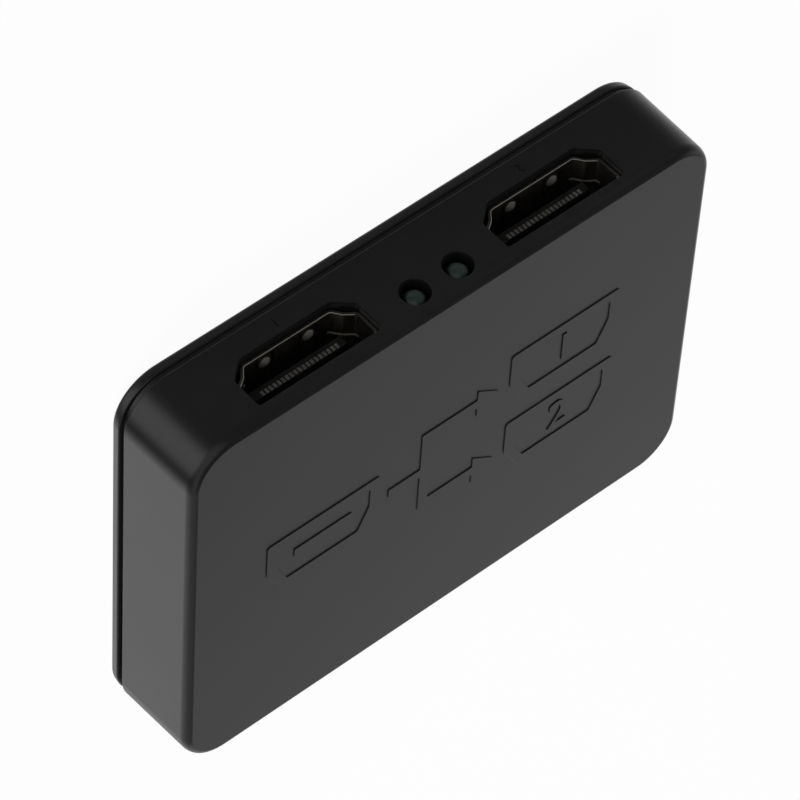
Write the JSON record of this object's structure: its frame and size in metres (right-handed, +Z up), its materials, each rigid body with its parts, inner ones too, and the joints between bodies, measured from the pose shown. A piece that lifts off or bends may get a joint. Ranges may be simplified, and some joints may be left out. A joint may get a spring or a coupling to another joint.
{
  "type": "video splitter",
  "caption": "Small flat two-part plastic box that passes one video input to a pair of outputs, with sockets on both long sides and round lamps.",
  "frame": {"origin": "centre of the cover's underside, on the table", "axes": "+X along the long sides, -Y out of the output side, +Z up out of the plain top panel"},
  "size_m": [0.065, 0.049, 0.0117],
  "materials": {
    "black_abs": "satin moulded ABS",
    "green_board": "solder mask on glass board",
    "plated_steel": "nickel-plated sheet",
    "black_insulator": "moulded insulator",
    "gold_plate": "gold-plated contacts",
    "green_epoxy": "tinted clear epoxy",
    "tinned_wire": "tinned",
    "black_epoxy": "moulded epoxy",
    "bright_can": "drawn can",
    "ferrite": "pressed ferrite",
    "tan_ceramic": "fired ceramic"
  },
  "bodies": {
    "root": {"top_shell": "black_abs", "bottom_cover": "black_abs", "circuit_board": "green_board", "output_1_shell": "plated_steel", "output_1_core": "black_insulator", "output_1_contacts": "gold_plate", "output_2_shell": "plated_steel", "output_2_core": "black_insulator", "output_2_contacts": "gold_plate", "input_shell": "plated_steel", "input_core": "black_insulator", "input_contacts": "gold_plate", "power_shell": "plated_steel", "power_core": "black_insulator", "power_contacts": "gold_plate", "lamp_1_lens": "green_epoxy", "lamp_1_leads": "tinned_wire", "lamp_2_lens": "green_epoxy", "lamp_2_leads": "tinned_wire", "splitter_chip": "black_epoxy", "splitter_chip_leads": "tinned_wire", "memory_chip": "black_epoxy", "memory_chip_leads": "tinned_wire", "regulator_bodies": "black_epoxy", "regulator_leads": "tinned_wire", "crystal": "bright_can", "capacitor_cans": "bright_can", "capacitor_bases": "black_epoxy", "inductor": "ferrite", "chip_capacitors": "tan_ceramic", "chip_resistors": "black_epoxy", "chip_ends": "tinned_wire"}
  },
  "joints": []
}
